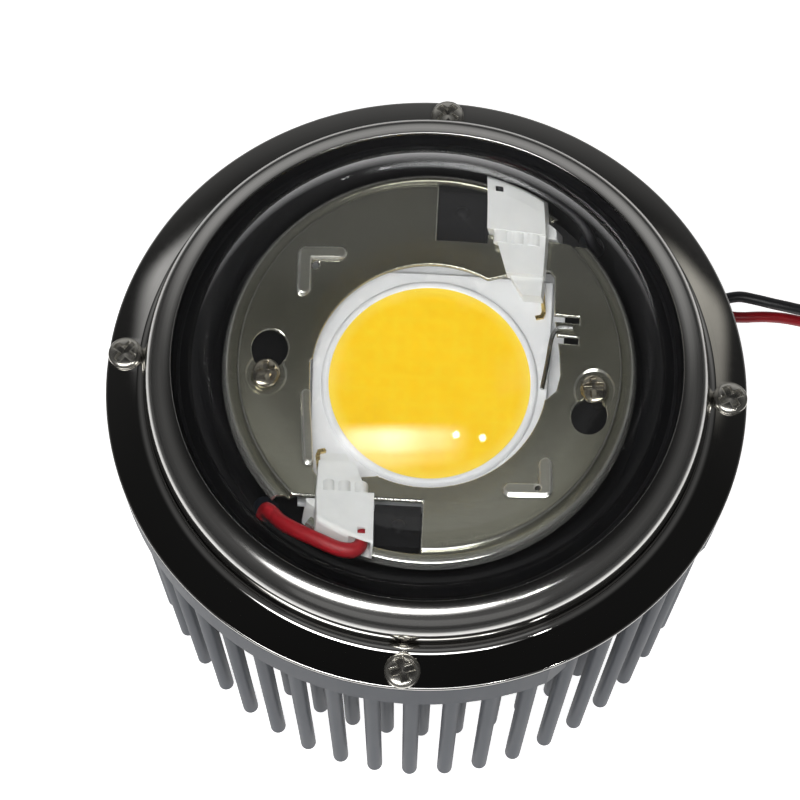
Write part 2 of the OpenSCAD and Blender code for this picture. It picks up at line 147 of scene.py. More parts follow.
def smooth(points, m):
    P = [np.array(p, float) for p in points]
    out = []
    for i in range(len(P) - 1):
        a, b, c, d = P[max(i - 1, 0)], P[i], P[i + 1], P[min(i + 2, len(P) - 1)]
        for j in range(m):
            t = j / m
            out.append(0.5 * (2 * b + (c - a) * t + (2 * a - 5 * b + 4 * c - d) * t * t + (3 * b - a - 3 * c + d) * t ** 3))
    out.append(P[-1])
    return out


def tube(name, points, diameter, sides=14):
    """Round tube along points, mm, with closed ends; the section is carried along without twist."""
    P = [np.array(p, float) for p in points]
    T = [P[min(i + 1, len(P) - 1)] - P[max(i - 1, 0)] for i in range(len(P))]
    T = [t / np.linalg.norm(t) for t in T]
    n = np.array((0.1, 0.2, 1.0)) if abs(T[0][2]) < 0.9 else np.array((1.0, 0.2, 0.1))
    verts, faces = [], []
    for i, (p, t) in enumerate(zip(P, T)):
        n = n - t * float(n @ t)
        n = n / np.linalg.norm(n)
        b = np.cross(t, n)
        for k in range(sides):
            a = 2 * PI * k / sides
            verts.append(p + diameter / 2 * (math.cos(a) * n + math.sin(a) * b))
        if i:
            o = (i - 1) * sides
            faces += [[o + k, o + (k + 1) % sides, o + sides + (k + 1) % sides, o + sides + k] for k in range(sides)]
    faces += [list(range(sides))[::-1], list(range((len(P) - 1) * sides, len(P) * sides))]
    return mesh_object(name, [tuple(map(float, v)) for v in verts], faces, 50)


def soften(name, width, segs=2, angle=30, clamp=True):
    ob = NODE[name]
    w = ob.modifiers.new("weld", "WELD")
    w.merge_threshold = 1e-6
    b = ob.modifiers.new("bevel", "BEVEL")
    b.width = width * MM
    b.segments = segs
    b.limit_method = "ANGLE"
    b.angle_limit = math.radians(angle)
    b.use_clamp_overlap = clamp
    n = ob.modifiers.new("normals", "WEIGHTED_NORMAL")
    n.keep_sharp = False
    return ob


# ---------------------------------------------------------------- material helpers
class Mat:
    def __init__(self, name):
        self.m = bpy.data.materials.new(name)
        self.m.use_nodes = True
        self.t = self.m.node_tree
        self.p = next(n for n in self.t.nodes if n.type == "BSDF_PRINCIPLED")
        self.tc = self.t.nodes.new("ShaderNodeTexCoord")

    def put(self, **kw):
        for k, v in kw.items():
            self.p.inputs[k.replace("_", " ")].default_value = v
        return self

    def node(self, kind, **kw):
        n = self.t.nodes.new(kind)
        for k, v in kw.items():
            setattr(n, k, v)
        return n

    def join(self, a, b):
        self.t.links.new(a, b)

    def mapped(self, scale=(1, 1, 1), rot=(0, 0, 0), loc=(0, 0, 0)):
        n = self.node("ShaderNodeMapping", vector_type="POINT")
        n.inputs["Scale"].default_value = scale
        n.inputs["Rotation"].default_value = rot
        n.inputs["Location"].default_value = loc
        self.join(self.tc.outputs["Object"], n.inputs["Vector"])
        return n.outputs["Vector"]

    def noise(self, scale, detail=3.0, rough=0.55, vec=None, distortion=0.0):
        n = self.node("ShaderNodeTexNoise")
        n.inputs["Scale"].default_value = scale
        n.inputs["Detail"].default_value = detail
        n.inputs["Roughness"].default_value = rough
        n.inputs["Distortion"].default_value = distortion
        self.join(vec if vec is not None else self.tc.outputs["Object"], n.inputs["Vector"])
        return n.outputs["Fac"]

    def ramp(self, fac, stops, interpolation="LINEAR"):
        n = self.node("ShaderNodeValToRGB")
        e = n.color_ramp.elements
        n.color_ramp.interpolation = interpolation
        while len(e) < len(stops):
            e.new(0.5)
        for el, (pos, col) in zip(e, stops):
            el.position = pos
            el.color = tuple(col) + (1.0,) if len(col) == 3 else tuple(col)
        self.join(fac, n.inputs["Fac"])
        return n.outputs["Color"]

    def span(self, fac, lo, hi, a=0.0, b=1.0):
        n = self.node("ShaderNodeMapRange")
        for k, v in (("From Min", a), ("From Max", b), ("To Min", lo), ("To Max", hi)):
            n.inputs[k].default_value = v
        self.join(fac, n.inputs["Value"])
        return n.outputs["Result"]

    def math(self, op, a, b=None, clamp=False):
        n = self.node("ShaderNodeMath", operation=op, use_clamp=clamp)
        for i, v in enumerate((a, b)):
            if v is None:
                continue
            if isinstance(v, (int, float)):
                n.inputs[i].default_value = v
            else:
                self.join(v, n.inputs[i])
        return n.outputs["Value"]

    def mix(self, fac, a, b, blend="MIX"):
        n = self.node("ShaderNodeMix", data_type="RGBA", blend_type=blend)
        for key, v in (("Factor", fac), ("A", a), ("B", b)):
            sock = [s for s in n.inputs if s.name == key and s.type == ("VALUE" if key == "Factor" else "RGBA")][0]
            if isinstance(v, (int, float)):
                sock.default_value = v
            elif isinstance(v, (tuple, list)):
                sock.default_value = tuple(v) + (1.0,) if len(v) == 3 else tuple(v)
            else:
                self.join(v, sock)
        return [s for s in n.outputs if s.type == "RGBA"][0]

    def to(self, out, name):
        self.join(out, self.p.inputs[name])
        return self

    def bump(self, height, strength, distance):
        n = self.node("ShaderNodeBump")
        n.inputs["Strength"].default_value = strength
        n.inputs["Distance"].default_value = distance * MM
        self.join(height, n.inputs["Height"])
        self.join(n.outputs["Normal"], self.p.inputs["Normal"])
        return self


def radial(M, cx, cy):
    """Distance from a vertical axis at (cx, cy) mm, in mm."""
    v = M.mapped(scale=(1000, 1000, 0), loc=(-cx, -cy, 0))
    n = M.node("ShaderNodeVectorMath", operation="LENGTH")
    M.join(v, n.inputs[0])
    return n.outputs["Value"]


def height(M):
    """Height above the pin tips, in mm."""
    n = M.node("ShaderNodeSeparateXYZ")
    M.join(M.mapped(scale=(1000, 1000, 1000)), n.inputs[0])
    return n.outputs["Z"]


# ---------------------------------------------------------------- materials
def anodised():
    M = Mat("anodised_aluminium")
    M.put(Metallic=0.1, IOR=1.5, Specular_IOR_Level=0.12)
    drawn = M.noise(1.0, 3, vec=M.mapped(scale=(900, 900, 18)))
    cloud = M.noise(45, 4)
    both = M.math("MULTIPLY_ADD", drawn, 0.5)
    M.t.nodes[-1].inputs[2].default_value = 0.0
    f = M.math("ADD", both, M.math("MULTIPLY", cloud, 0.5))
    col = M.ramp(f, [(0.25, (0.024, 0.029, 0.041)), (0.55, (0.036, 0.043, 0.057)), (0.8, (0.051, 0.060, 0.077))])
    # painted shade: the heat sink's top inside the bezel, under the holder, is painted near black and made a little
    # rougher
    inside = M.math("MULTIPLY", M.math("LESS_THAN", radial(M, 0, 0), 51.5), M.math("GREATER_THAN", height(M), 72.7))
    M.to(M.mix(inside, col, (0.004, 0.004, 0.0045)), "Base Color")
    M.to(M.math("ADD", M.span(f, 0.34, 0.52), M.math("MULTIPLY", inside, 0.2)), "Roughness")
    M.bump(M.noise(5200, 2), 0.12, 0.02)
    return M.m


def thermal_pad():
    M = Mat("thermal_pad").put(Roughness=0.75)
    M.to(M.ramp(M.noise(900, 4), [(0.3, (0.80, 0.81, 0.82)), (0.7, (0.88, 0.885, 0.89))]), "Base Color")
    M.bump(M.noise(4000, 2), 0.2, 0.02)
    return M.m


def white_ceramic():
    M = Mat("white_ceramic").put(IOR=1.5)
    f = M.noise(260, 5)
    M.to(M.ramp(f, [(0.3, (0.86, 0.875, 0.89)), (0.7, (0.93, 0.935, 0.94))]), "Base Color")
    M.to(M.span(f, 0.2, 0.32), "Roughness")
    M.bump(M.noise(3000, 2), 0.05, 0.01)
    return M.m


def white_silicone():
    M = Mat("white_silicone").put(IOR=1.42, Subsurface_Weight=0.1, Subsurface_Radius=(0.6, 0.6, 0.55), Subsurface_Scale=0.0006)
    f = M.noise(420, 4)
    M.to(M.ramp(f, [(0.3, (0.88, 0.895, 0.91)), (0.7, (0.93, 0.94, 0.95))]), "Base Color")
    M.to(M.span(f, 0.28, 0.42), "Roughness")
    M.bump(M.noise(1500, 2), 0.08, 0.02)
    return M.m


def chip():
    M = Mat("chip").put(IOR=1.8, Roughness=0.15)
    M.to(M.ramp(M.noise(2500, 2), [(0.3, (0.10, 0.15, 0.38)), (0.7, (0.18, 0.25, 0.52))]), "Base Color")
    return M.m


def phosphor():
    # painted glow: the phosphor is given a faint emission in its own colour, though the lamp is off
    M = Mat("phosphor").put(IOR=1.42, Emission_Strength=0.16)
    c, s = math.cos(HOLD_ROT), math.sin(HOLD_ROT)
    cx, cy = COB
    k = 1000 / 2.2
    v = M.mapped(scale=(k, k, 0), rot=(0, 0, -HOLD_ROT), loc=(-(cx * c + cy * s) / 2.2, -(-cx * s + cy * c) / 2.2, 0))
    vo = M.node("ShaderNodeTexVoronoi", voronoi_dimensions="2D", feature="F1", distance="CHEBYCHEV")
    vo.inputs["Scale"].default_value = 1.0
    vo.inputs["Randomness"].default_value = 0.0
    M.join(v, vo.inputs["Vector"])
    grid = M.span(vo.outputs["Distance"], 1.0, 0.0, 0.16, 0.46)
    r = radial(M, cx, cy)
    edge = M.span(r, 0.0, 1.0, 13.2, 15.0)
    cloud = M.noise(330, 4)
    base = M.ramp(cloud, [(0.3, (0.97, 0.60, 0.010)), (0.7, (1.0, 0.67, 0.020))])
    base = M.mix(M.math("MULTIPLY", grid, 0.35), base, (0.99, 0.58, 0.006))
    base = M.mix(M.math("MULTIPLY", edge, 0.55), base, (1.0, 0.78, 0.12))
    M.to(base, "Base Color")
    M.to(base, "Emission Color")
    M.to(M.span(cloud, 0.42, 0.56), "Roughness")
    M.bump(M.noise(2600, 3), 0.06, 0.02)
    return M.m


def plated_sheet():
    M = Mat("plated_sheet").put(Metallic=0.85, IOR=1.8)
    grain = M.noise(1.0, 3, vec=M.mapped(scale=(260, 5200, 2000)))
    cloud = M.noise(70, 4, distortion=0.4)
    f = M.math("ADD", M.math("MULTIPLY", grain, 0.45), M.math("MULTIPLY", cloud, 0.55))
    col = M.ramp(f, [(0.25, (0.25, 0.245, 0.19)), (0.5, (0.33, 0.325, 0.255)), (0.75, (0.40, 0.395, 0.32))])
    # painted highlight: the flanks of the ribs are painted pale, their tops less so
    painted_rib_highlight = M.ramp(M.span(height(M), 0.0, 1.0, 76.0, 76.7), [(0.06, (0, 0, 0)), (0.25, (1, 1, 1)), (0.78, (1, 1, 1)), (0.93, (0.22, 0.22, 0.22))])
    # painted highlight: the rolled-down edges of the cut-outs are painted pale
    painted_edge_highlight = M.ramp(M.span(height(M), 0.0, 1.0, 75.6, 76.0), [(0.15, (0, 0, 0)), (0.35, (1, 1, 1)), (0.8, (1, 1, 1)), (0.95, (0, 0, 0))])
    # painted highlight: the turned-down outer rim is painted pale
    rim = M.span(radial(M, *HOLD), 0.0, 1.0, 31.55, 31.9)
    painted_highlight = M.math("MAXIMUM", M.math("MAXIMUM", painted_rib_highlight, M.math("MULTIPLY", painted_edge_highlight, 0.7)), rim)
    # the painted highlights are mixed in as a pale colour
    M.to(M.mix(M.math("MULTIPLY", painted_highlight, 0.9), col, (0.88, 0.87, 0.82)), "Base Color")
    M.to(M.math("ADD", M.span(f, 0.10, 0.20), M.span(height(M), 0.0, 0.14, 76.08, 76.3)), "Roughness")
    M.bump(M.math("ADD", M.noise(2600, 3), M.math("MULTIPLY", M.noise(140, 2), 2.0)), 0.08, 0.03)
    return M.m


def metal(name, dark, light, rough, scale=1500, metallic=1.0, bump=0.06):
    M = Mat(name).put(Metallic=metallic)
    f = M.math("ADD", M.math("MULTIPLY", M.noise(scale, 3), 0.5), M.math("MULTIPLY", M.noise(220, 4), 0.5))
    M.to(M.ramp(f, [(0.28, dark), (0.72, light)]), "Base Color")
    M.to(M.span(f, rough[0], rough[1]), "Roughness")
    M.bump(M.noise(scale * 2, 2), bump, 0.02)
    return M.m


def polished_steel():
    M = Mat("polished_steel").put(Metallic=1.0, Specular_Tint=(0.45, 0.45, 0.45, 1.0))
    cloud = M.noise(38, 3)
    r = radial(M, 0, 0)
    # polishing lines run round the ring
    line = M.node("ShaderNodeCombineXYZ")
    M.join(r, line.inputs[0])
    M.join(M.math("MULTIPLY", height(M), 1.0), line.inputs[2])
    streak = M.noise(5.0, 3, vec=line.outputs[0])
    M.to(M.ramp(M.math("ADD", M.math("MULTIPLY", streak, 0.5), M.math("MULTIPLY", cloud, 0.5)),
                [(0.3, (0.55, 0.54, 0.52)), (0.7, (0.68, 0.67, 0.65))]), "Base Color")
    satin = M.span(r, 1.0, 0.0, 51.2, 52.2)
    fine = M.math("ADD", M.math("MULTIPLY", streak, 0.6), M.math("MULTIPLY", M.noise(900, 4), 0.4))
    M.to(M.math("ADD", M.span(fine, 0.035, 0.075, 0.3, 0.7), M.math("MULTIPLY", satin, 0.1)), "Roughness")
    M.bump(M.math("ADD", M.math("MULTIPLY", M.noise(40, 1), 2.0), M.math("MULTIPLY", streak, 0.3)), 0.03, 0.05)
    return M.m


def lens_glass():
    M = Mat("lens_glass").put(IOR=1.5, Metallic=0.0)
    M.p.inputs["Transmission Weight"].default_value = 1.0
    f = M.noise(55, 3)
    M.to(M.ramp(f, [(0.3, (0.985, 0.995, 0.99)), (0.7, (1.0, 1.0, 1.0))]), "Base Color")
    M.to(M.span(f, 0.0, 0.003, 0.55, 0.9), "Roughness")
    return M.m


def white_nylon():
    M = Mat("white_nylon").put(IOR=1.53, Subsurface_Weight=0.15, Subsurface_Radius=(0.8, 0.75, 0.65), Subsurface_Scale=0.0008)
    f = M.noise(300, 4)
    M.to(M.ramp(f, [(0.3, (0.78, 0.79, 0.775)), (0.7, (0.85, 0.855, 0.84))]), "Base Color")
    M.to(M.span(f, 0.34, 0.48), "Roughness")
    M.bump(M.noise(3200, 2), 0.08, 0.02)
    return M.m


def plastic(name, dark, light, rough, scale=900, bump=0.1, ior=1.5, level=0.5):
    M = Mat(name).put(IOR=ior, Specular_IOR_Level=level)
    f = M.math("ADD", M.math("MULTIPLY", M.noise(scale, 4), 0.6), M.math("MULTIPLY", M.noise(110, 3), 0.4))
    M.to(M.ramp(f, [(0.3, dark), (0.7, light)]), "Base Color")
    M.to(M.span(f, rough[0], rough[1]), "Roughness")
    M.bump(M.noise(scale * 3, 3), bump, 0.02)
    return M.m


MAT = {
    "anodised_aluminium": anodised(),
    "thermal_pad": thermal_pad(),
    "white_ceramic": white_ceramic(),
    "white_silicone": white_silicone(),
    "chip": chip(),
    "phosphor": phosphor(),
    "plated_sheet": plated_sheet(),
    "small_screw": metal("small_screw", (0.50, 0.46, 0.36), (0.66, 0.61, 0.50), (0.12, 0.22)),
    "white_nylon": white_nylon(),
    "brass": metal("brass", (0.62, 0.46, 0.16), (0.80, 0.62, 0.27), (0.2, 0.34)),
    "spring_steel": metal("spring_steel", (0.55, 0.55, 0.54), (0.72, 0.72, 0.71), (0.16, 0.28)),
    "black_plastic": plastic("black_plastic", (0.004, 0.004, 0.0045), (0.006, 0.006, 0.007), (0.3, 0.42), level=0.1),
    "black_rubber": plastic("black_rubber", (0.005, 0.005, 0.0055), (0.010, 0.010, 0.011), (0.5, 0.66), level=0.15),
    "lens_glass": lens_glass(),
    "polished_steel": polished_steel(),
    "nickel_screw": metal("nickel_screw", (0.58, 0.56, 0.51), (0.72, 0.70, 0.64), (0.18, 0.3)),
    "red_insulation": plastic("red_insulation", (0.30, 0.004, 0.010), (0.43, 0.010, 0.018), (0.34, 0.46), bump=0.06),
    "black_insulation": plastic("black_insulation", (0.010, 0.010, 0.012), (0.020, 0.020, 0.023), (0.34, 0.46), bump=0.06),
    "tinned_copper": metal("tinned_copper", (0.62, 0.60, 0.56), (0.78, 0.76, 0.72), (0.22, 0.36)),
}
for row in frame["record"]["subparts"]:
    ob = NODE[row["node"]]
    for s in ob.material_slots:
        s.material = MAT[row["material_slot"]]

# ---------------------------------------------------------------- leads
BLACK = [(55, 26.2, 61.5), (56, 26.5, 61.5), (57, 26.8, 61.5), (60.2, 27.6, 61.5), (63.4, 27.3, 61.4),
         (67, 26.7, 61.3), (71, 26.3, 60.8), (75.5, 26, 59.6), (80, 25.7, 57), (84.5, 25.3, 52.8),
         (88.2, 24.9, 46.4), (90.6, 24.6, 38.4), (92.2, 24.4, 30), (94, 24.4, 21.6), (96.6, 24.4, 14),
         (100.2, 24.4, 8.4), (104.6, 24.4, 5.2), (109, 24.4, 4), (112, 24.4, 3.8)]
RED = [(55.6, 24.6, 59.2), (57.6, 24.4, 59.2), (59.6, 24.2, 59.2), (61.8, 24.3, 59.2), (63.7, 24.6, 59.1), (66.2, 24.9, 58.9),
       (69, 25.1, 58.5), (72, 25.1, 57.9), (76, 25.1, 56.5), (80, 25, 53.8), (83.4, 24.8, 49.8),
       (86, 24.6, 44.4), (88, 24.5, 37.6), (89.6, 24.4, 29.6), (91.4, 24.4, 21.4), (94.2, 24.4, 12.8),
       (98, 24.4, 6.6), (103, 24.4, 2.8), (108, 24.4, 1.6), (112, 24.4, 1.5)]
TERMINAL_RUN = [(9.4, 27, 77.35), (9.4, 28.8, 77.35), (9.4, 30.4, 77.35), (9.9, 31.9, 77.4),
                (11.2, 32.9, 77.6), (13.4, 32.9, 77.7), (16, 31.8, 77.6), (18.7, 30.3, 77.2),
                (21, 28.6, 76.5), (22.7, 26.8, 75.7), (23.5, 25.2, 75)]


def from_holder(p, side=1):
    c, s = math.cos(HOLD_ROT), math.sin(HOLD_ROT)
    out = (HOLD[0] + side * (p[0] * c - p[1] * s), HOLD[1] + side * (p[0] * s + p[1] * c))
    return out + tuple(p[2:])


BLACK_IN = [from_holder(p, 1) for p in TERMINAL_RUN] + [
    (23.4, 24.4, 74.3), (23.35, 23.8, 73.2), (23.25, 23.45, 71.5), (23.2, 23.3, 69), (23.25, 23.25, 66),
    (23.3, 23.3, 63.6), (23.9, 23.3, 62), (25.6, 23.4, 61.4), (29, 23.8, 61.4), (33.2, 24.1, 61.5), (38, 24.4, 61.5),
    (42.7, 24.6, 61.5), (47.5, 24.8, 61.5), (52, 25.3, 61.5), (53.5, 25.75, 61.5), (55, 26.2, 61.5)]
RED_IN = [from_holder(p, -1) for p in TERMINAL_RUN] + [
    (-23.2, -25.5, 74.7), (-23.6, -24.7, 74), (-23.8, -24.2, 73), (-23.8, -23.9, 71.5), (-23.6, -23.6, 69),
    (-23.3, -23.3, 66), (-23.3, -23.3, 63.4), (-23.8, -23.8, 61), (-25.2, -25, 59.6)] + [
    (37 * math.cos(math.radians(220 - 13.5 * i)), 37 * math.sin(math.radians(220 - 13.5 * i)), 59.2) for i in range(13)] + [
    (26.4, 25.9, 59.2), (29.6, 24.4, 59.2), (33.4, 24.1, 59.2), (38, 24.4, 59.2), (42.7, 24.6, 59.2), (47.5, 24.9, 59.2),
    (51.6, 25, 59.2), (53.6, 24.8, 59.2), (55.6, 24.6, 59.2)]


def coil(t, z):
    a, r = math.radians(90 - 360 * t), 14 - 2.3 * t
    return (112 + r * math.cos(a), 10.4 + r * math.sin(a), z)


def make_leads():
    for name, free, inner, z in (("red", RED, RED_IN, 1.5), ("black", BLACK, BLACK_IN, 3.8)):
        mat = MAT[name + "_insulation"]
        pts = smooth(free, 6)[:-1] + [coil(2.1 * i / 126, z) for i in range(127)]
        lead = add(tube(name + "_lead_wire", pts, 2.2), mat, (name + "_lead", name + "_lead_coil"))
        add(tube(name + "_lead_inside", smooth(inner, 6), 2.2), mat, (name + "_lead_inner",))


make_leads()


# ---------------------------------------------------------------- bezel ring
def flat_ring(z, r_in, r_out, segs, holes, down):
    """Faces of a flat ring with round holes; the rims use the same points as the lathe."""
    pts, edges, n_in = [], [], segs
    for r in (r_in, r_out):
        o = len(pts)
        pts += [Vector((r * math.cos(2 * PI * k / segs), r * math.sin(2 * PI * k / segs))) for k in range(segs)]
        edges += [(o + k, o + (k + 1) % segs) for k in range(segs)]
    for hx, hy, hr, hn in holes:
        o = len(pts)
        pts += [Vector((hx + hr * math.cos(2 * PI * k / hn), hy + hr * math.sin(2 * PI * k / hn))) for k in range(hn)]
        edges += [(o + k, o + (k + 1) % hn) for k in range(hn)]
    vs, _, fs, *_ = delaunay_2d_cdt(pts, edges, [], 0, 1e-6)
    keep = []
    for f in fs:
        c = sum((vs[i] for i in f), Vector((0, 0))) / len(f)
        if not r_in * 0.9999 < c.length < r_out:
            continue
        if any((c - Vector((h[0], h[1]))).length < h[2] * 0.999 for h in holes):
            continue
        keep.append(list(f))
    return [(v.x, v.y, z) for v in vs], keep


def make_bezel():
    segs = 288
    end_out = 90 + math.degrees(math.asin(-0.3 / BEAD_R))
    end_in = 90 + math.degrees(math.asin(-0.3 / (BEAD_R - 0.8)))
    prof = [(60.0, 72.95), (60.0, 73.2)]
    prof += arc(59.6, 73.2, 0.4, 0, 90, 8)[1:]
    k_top = len(prof) - 1
    prof += arc(*FOOT, FOOT_R, 270, 180, 30)
    prof += [(52.3, 76.2), (52.3, 77.0)]
    prof += arc(*BEAD, BEAD_R, 0, end_out, 72)[:-1]
    prof += [(46.88, 83.58), (46.80, 83.50), (46.80, 82.88), (46.88, 82.80)]
    prof += arc(*BEAD, BEAD_R - 0.8, end_in, 0, 30)[1:]
    prof += [(51.5, 76.8)]
    prof += arc(*FOOT, FOOT_R + 0.8, 180, 270, 18)
    k_low = len(prof) - 1
    prof += [(59.85, 72.8)]
    verts, faces = lathe(prof, segs, skip=(k_top, k_low))
    holes = [(56.8 * math.cos(a), 56.8 * math.sin(a), 1.6, 32) for a in (0, PI / 2, PI, 3 * PI / 2)]
    for z, r0, r1 in ((prof[k_top][1], prof[k_top + 1][0], prof[k_top][0]), (72.8, prof[k_low][0], 59.85)):
        v, f = flat_ring(z, r0, r1, segs, holes, False)
        o = len(verts)
        verts += v
        faces += [[i + o for i in q] for q in f]
    for hx, hy, hr, hn in holes:
        o = len(verts)
        for z in (Z_FL, Z_TOP):
            verts += [(hx + hr * math.cos(2 * PI * k / hn), hy + hr * math.sin(2 * PI * k / hn), z) for k in range(hn)]
        faces += [[o + k, o + (k + 1) % hn, o + hn + (k + 1) % hn, o + hn + k] for k in range(hn)]
    return add(mesh_object("bezel", verts, faces, 40), MAT["polished_steel"], ("bezel_ring",))


make_bezel()


# ---------------------------------------------------------------- lens and gasket
def make_lens():
    cz = Z_RIM - math.sqrt(DOME_CURVE ** 2 - DOME_R ** 2)
    a0 = math.degrees(math.acos(DOME_R / DOME_CURVE))
    prof = [(0.0, Z_LENS), (20.0, Z_LENS), (40.0, Z_LENS), (49.6, Z_LENS)]
    prof += arc(49.6, Z_LENS + 0.4, 0.4, -90, 0, 5)[1:] + arc(49.6, Z_RIM - 0.4, 0.4, 0, 90, 5)
    prof += [(48.0, Z_RIM), (46.4, Z_RIM), (46.1, Z_RIM + 0.03)]
    dome = arc(0.0, cz, DOME_CURVE, a0, 90, 84)
    prof += dome[:-1] + [(0.0, dome[-1][1])]
    verts, faces = lathe(prof, 256, closed=False)
    ob = add(mesh_object("lens", verts, faces, 25), MAT["lens_glass"], ("glass_lens",))
    ob.visible_shadow = False
    return ob


def make_gasket():
    top = Z_LENS - 0.02
    prof = [(44.2, Z_TOP), (50.9, Z_TOP), (51.0, Z_TOP + 0.1), (51.0, 78.0)]
    prof += arc(*BEAD, BEAD_R - 0.86, 24.4, 84, 16)
    prof += [(46.8, 82.5), (46.6, 82.2), (46.4, 81.6), (46.25, 81.2), (46.12, 80.9), (46.06, Z_RIM + 0.06),
             (50.08, Z_RIM + 0.02), (50.08, top), (44.8, top)]
    prof += arc(44.7, top - 0.5, 0.5, 90, 180, 6)[1:]
    verts, faces = lathe(prof, 256)
    return add(mesh_object("gasket", verts, faces, 35), MAT["black_rubber"], ("lens_gasket",))


make_lens()
make_gasket()

# ---------------------------------------------------------------- holder plate
def polygon_distance(P, poly):
    """Signed distance of points P from a closed polygon; negative inside."""
    best = np.full(len(P), 1e9)
    inside = np.zeros(len(P), bool)
    for a, b in zip(poly, np.roll(poly, -1, axis=0)):
        e = b - a
        w = P - a
        t = np.clip((w @ e) / max(float(e @ e), 1e-12), 0, 1)
        best = np.minimum(best, np.hypot(w[:, 0] - e[0] * t, w[:, 1] - e[1] * t))
        cross = (a[1] > P[:, 1]) != (b[1] > P[:, 1])
        if a[1] != b[1]:
            inside ^= cross & (P[:, 0] < e[0] * (P[:, 1] - a[1]) / e[1] + a[0])
    return np.where(inside, -best, best)


def round_polygon(cx, cy, r, n, a0=0.0, a1=360.0):
    return np.array([(cx + r * math.cos(math.radians(a0 + (a1 - a0) * k / n)), cy + r * math.sin(math.radians(a0 + (a1 - a0) * k / n)))
                     for k in range(n if a1 - a0 == 360 else n + 1)])


